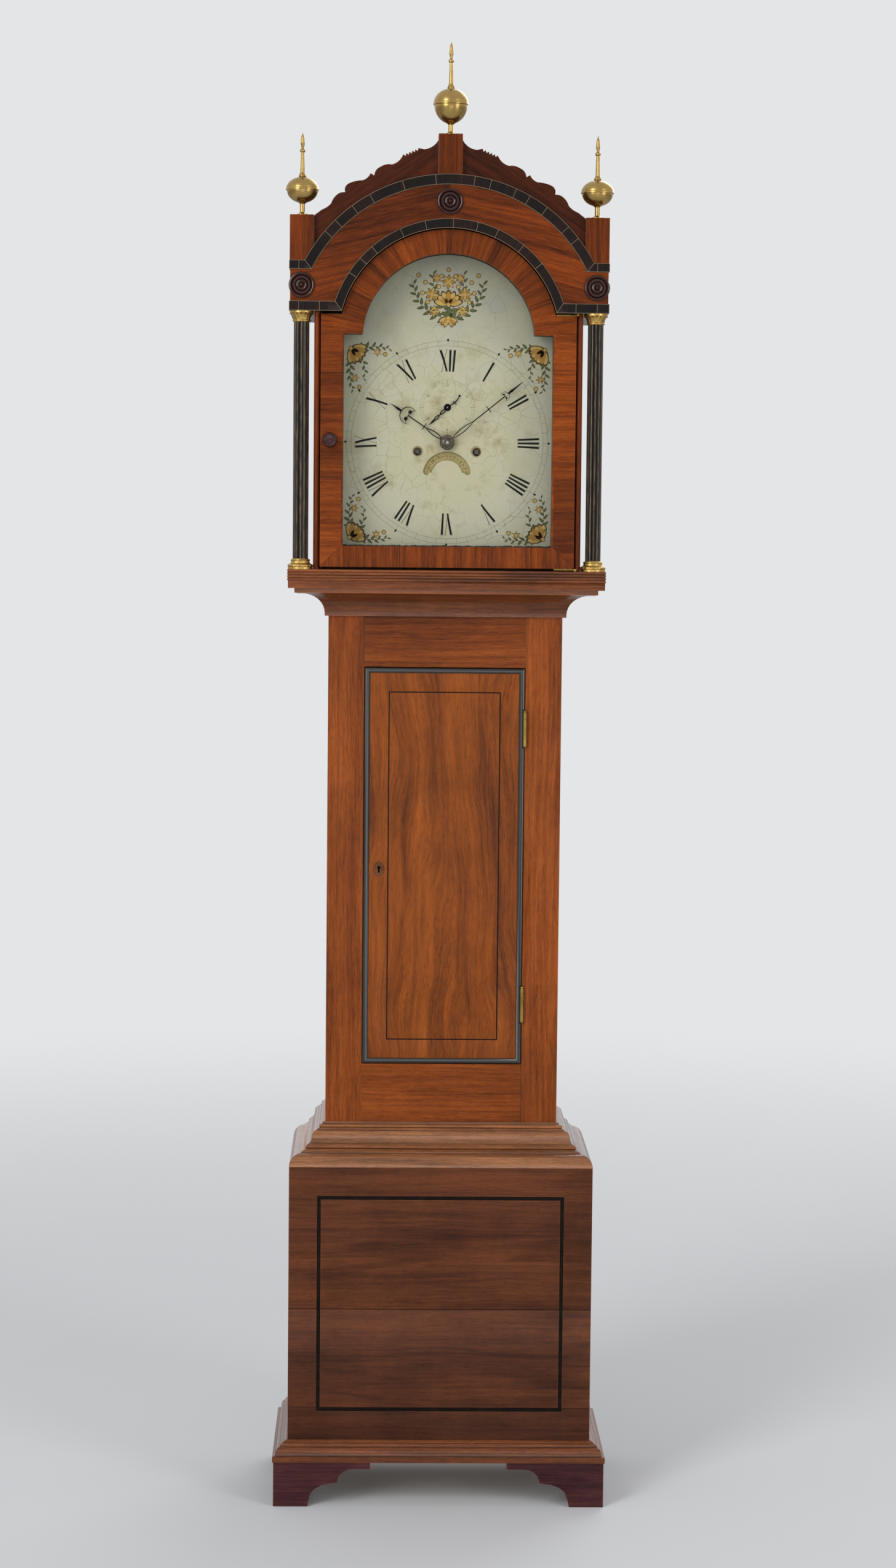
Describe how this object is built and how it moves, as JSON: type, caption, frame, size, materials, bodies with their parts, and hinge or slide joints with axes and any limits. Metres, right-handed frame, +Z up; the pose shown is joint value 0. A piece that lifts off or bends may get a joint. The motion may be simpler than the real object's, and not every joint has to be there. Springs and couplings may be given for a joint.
{
  "type": "longcase clock",
  "caption": "Mahogany longcase clock with an arched painted dial, a hood that slides off, two opening doors, and a weight-driven striking movement with a long pendulum.",
  "frame": {"origin": "middle of the footprint, on the floor", "axes": "+Z up, front face towards -Y, +X to the right as seen from the front"},
  "size_m": [0.482, 0.2586, 2.0983],
  "materials": {
    "mahogany": "French polished mahogany",
    "flame_mahogany": "French polished flame mahogany",
    "dark_mahogany": "dark polished mahogany",
    "ebonised": "ebonised and polished",
    "carcase": "bare oak and pine",
    "dark_brass": "old lacquered brass",
    "brass": "polished brass",
    "steel": "plain steel",
    "blued_steel": "blued steel",
    "dial_paint": "old white paint with fine cracks",
    "calendar_paint": "aged cream paint",
    "mask_paint": "dull painted pine",
    "glass": "clear",
    "knob": "turned and stained fruitwood",
    "bell_metal": "turned bell metal",
    "gut": "natural gut"
  },
  "bodies": {
    "case": {"backboard": "carcase", "trunk_sides": "mahogany", "trunk_front_frame": "mahogany", "trunk_mouldings": "mahogany", "base_front": "dark_mahogany", "base_carcase": "dark_mahogany", "base_stringing": "ebonised", "skirt_moulding": "dark_mahogany", "bracket_feet": "dark_mahogany", "seatboard": "carcase", "door_hinge_plates": "dark_brass", "dial": "dial_paint", "movement_frame": "brass", "back_cock": "brass", "bell": "bell_metal"},
    "trunk_door": {"trunk_door_board": "flame_mahogany", "trunk_door_ebony": "ebonised", "door_lock": "dark_brass", "door_hinge_leaves": "dark_brass"},
    "lock_bolt": {"lock_bolt": "steel"},
    "hood": {"hood_sides": "mahogany", "hood_base_frame": "mahogany", "hood_frieze": "mahogany", "arch_mouldings": "ebonised", "hood_cresting": "dark_mahogany", "finial_blocks": "mahogany", "roundels": "dark_mahogany", "hood_roof": "carcase", "column_shafts": "ebonised", "column_brasses": "dark_brass", "finials": "dark_brass", "dial_mask": "mask_paint"},
    "hood_door": {"hood_door_frame": "mahogany", "hood_door_glass": "glass", "hood_door_knob": "knob", "hood_door_straps": "dark_brass"},
    "date_disc": {"date_disc": "calendar_paint"},
    "minute": {"cannon_wheel": "brass", "minute_hand": "blued_steel"},
    "minute_wheel": {"minute_wheel": "brass"},
    "hour": {"hour_wheel": "brass", "hour_hand": "blued_steel"},
    "escape": {"escape_wheel": "brass", "seconds_hand": "blued_steel"},
    "third": {"third_wheel": "brass"},
    "centre": {"centre_wheel": "brass"},
    "going_barrel": {"going_barrel": "brass"},
    "anchor": {"pallet_anchor": "steel"},
    "pendulum": {"pendulum_rod": "steel", "pendulum_bob": "dark_brass"},
    "gathering": {"gathering_wheel": "brass"},
    "pin_wheel": {"pin_wheel": "brass"},
    "strike_barrel": {"strike_barrel": "brass"},
    "warning": {"warning_wheel": "brass"},
    "fly": {"fly": "brass"},
    "hammer": {"hammer": "steel"},
    "going_weight": {"going_weight": "dark_brass", "going_line": "gut"},
    "strike_weight": {"strike_weight": "dark_brass", "strike_line": "gut"}
  },
  "joints": [
    {"name": "trunk_door_hinge", "type": "hinge", "parent": "case", "child": "trunk_door", "pos_m": [0.11605, -0.06015, 0.926], "axis": [0, 0, 1], "range_deg": [0, 110]},
    {"name": "lock_bolt_slide", "type": "slide", "parent": "trunk_door", "child": "lock_bolt", "axis": [-1, 0, 0], "range_m": [0, 0.007]},
    {"name": "hood_slide", "type": "slide", "parent": "case", "child": "hood", "axis": [0, -1, 0], "range_m": [0, 0.24]},
    {"name": "hood_door_hinge", "type": "hinge", "parent": "hood", "child": "hood_door", "pos_m": [0.1823, -0.10875, 1.537], "axis": [0, 0, 1], "range_deg": [0, 110]},
    {"name": "date_disc_spin", "type": "hinge", "parent": "case", "child": "date_disc", "pos_m": [0, -0.04275, 1.4901], "axis": [0, 1, 0], "continuous": true},
    {"name": "minute_hand_spin", "type": "hinge", "parent": "case", "child": "minute", "pos_m": [0, -0.03575, 1.5376], "axis": [0, 1, 0], "continuous": true},
    {"name": "minute_wheel_spin", "type": "hinge", "parent": "case", "child": "minute_wheel", "pos_m": [0, -0.02075, 1.4976], "axis": [0, 1, 0], "continuous": true},
    {"name": "hour_hand_spin", "type": "hinge", "parent": "case", "child": "hour", "pos_m": [0, -0.03575, 1.5376], "axis": [0, 1, 0], "continuous": true},
    {"name": "escape_wheel_spin", "type": "hinge", "parent": "case", "child": "escape", "pos_m": [0, 0.01925, 1.5878], "axis": [0, 1, 0], "continuous": true},
    {"name": "third_wheel_spin", "type": "hinge", "parent": "case", "child": "third", "pos_m": [0.01006, 0.01925, 1.56469], "axis": [0, 1, 0], "continuous": true},
    {"name": "centre_wheel_spin", "type": "hinge", "parent": "case", "child": "centre", "pos_m": [0, 0.01925, 1.5376], "axis": [0, 1, 0], "continuous": true},
    {"name": "going_barrel_spin", "type": "hinge", "parent": "case", "child": "going_barrel", "pos_m": [0.0425, 0.01925, 1.5246], "axis": [0, 1, 0], "continuous": true},
    {"name": "pendulum_swing", "type": "hinge", "parent": "case", "child": "pendulum", "pos_m": [0, 0.08425, 1.6156], "axis": [0, 1, 0], "range_deg": [-2.5, 2.5]},
    {"name": "anchor_rock", "type": "hinge", "parent": "case", "child": "anchor", "pos_m": [0, 0.02925, 1.6156], "axis": [0, 1, 0], "range_deg": [-2.5, 2.5]},
    {"name": "gathering_wheel_spin", "type": "hinge", "parent": "case", "child": "gathering", "pos_m": [-0.03619, 0.01925, 1.58875], "axis": [0, 1, 0], "continuous": true},
    {"name": "pin_wheel_spin", "type": "hinge", "parent": "case", "child": "pin_wheel", "pos_m": [-0.04969, 0.01925, 1.56537], "axis": [0, 1, 0], "continuous": true},
    {"name": "strike_barrel_spin", "type": "hinge", "parent": "case", "child": "strike_barrel", "pos_m": [-0.0425, 0.01925, 1.5246], "axis": [0, 1, 0], "continuous": true},
    {"name": "warning_wheel_spin", "type": "hinge", "parent": "case", "child": "warning", "pos_m": [-0.0205, 0.01925, 1.60191], "axis": [0, 1, 0], "continuous": true},
    {"name": "fly_spin", "type": "hinge", "parent": "case", "child": "fly", "pos_m": [-0.02342, 0.01925, 1.61846], "axis": [0, 1, 0], "continuous": true},
    {"name": "hammer_lift", "type": "hinge", "parent": "case", "child": "hammer", "pos_m": [-0.054, 0.01925, 1.6066], "axis": [0, -1, 0], "range_deg": [0, 12]},
    {"name": "going_weight_fall", "type": "slide", "parent": "case", "child": "going_weight", "axis": [0, 0, -1], "range_m": [0, 1.08], "deforming": ["going_line"]},
    {"name": "strike_weight_fall", "type": "slide", "parent": "case", "child": "strike_weight", "axis": [0, 0, -1], "range_m": [0, 1.08], "deforming": ["strike_line"]}
  ],
  "couplings": [
    {"joint": "minute_wheel_spin", "follows": "minute_hand_spin", "ratio": -1},
    {"joint": "hour_hand_spin", "follows": "minute_hand_spin", "ratio": 0.083333},
    {"joint": "third_wheel_spin", "follows": "escape_wheel_spin", "ratio": -0.125},
    {"joint": "centre_wheel_spin", "follows": "escape_wheel_spin", "ratio": 0.016667},
    {"joint": "going_barrel_spin", "follows": "escape_wheel_spin", "ratio": -0.0013889},
    {"joint": "anchor_rock", "follows": "pendulum_swing", "ratio": 1},
    {"joint": "pin_wheel_spin", "follows": "gathering_wheel_spin", "ratio": -0.125},
    {"joint": "strike_barrel_spin", "follows": "gathering_wheel_spin", "ratio": 0.011905},
    {"joint": "warning_wheel_spin", "follows": "gathering_wheel_spin", "ratio": -8},
    {"joint": "fly_spin", "follows": "gathering_wheel_spin", "ratio": 56}
  ]
}
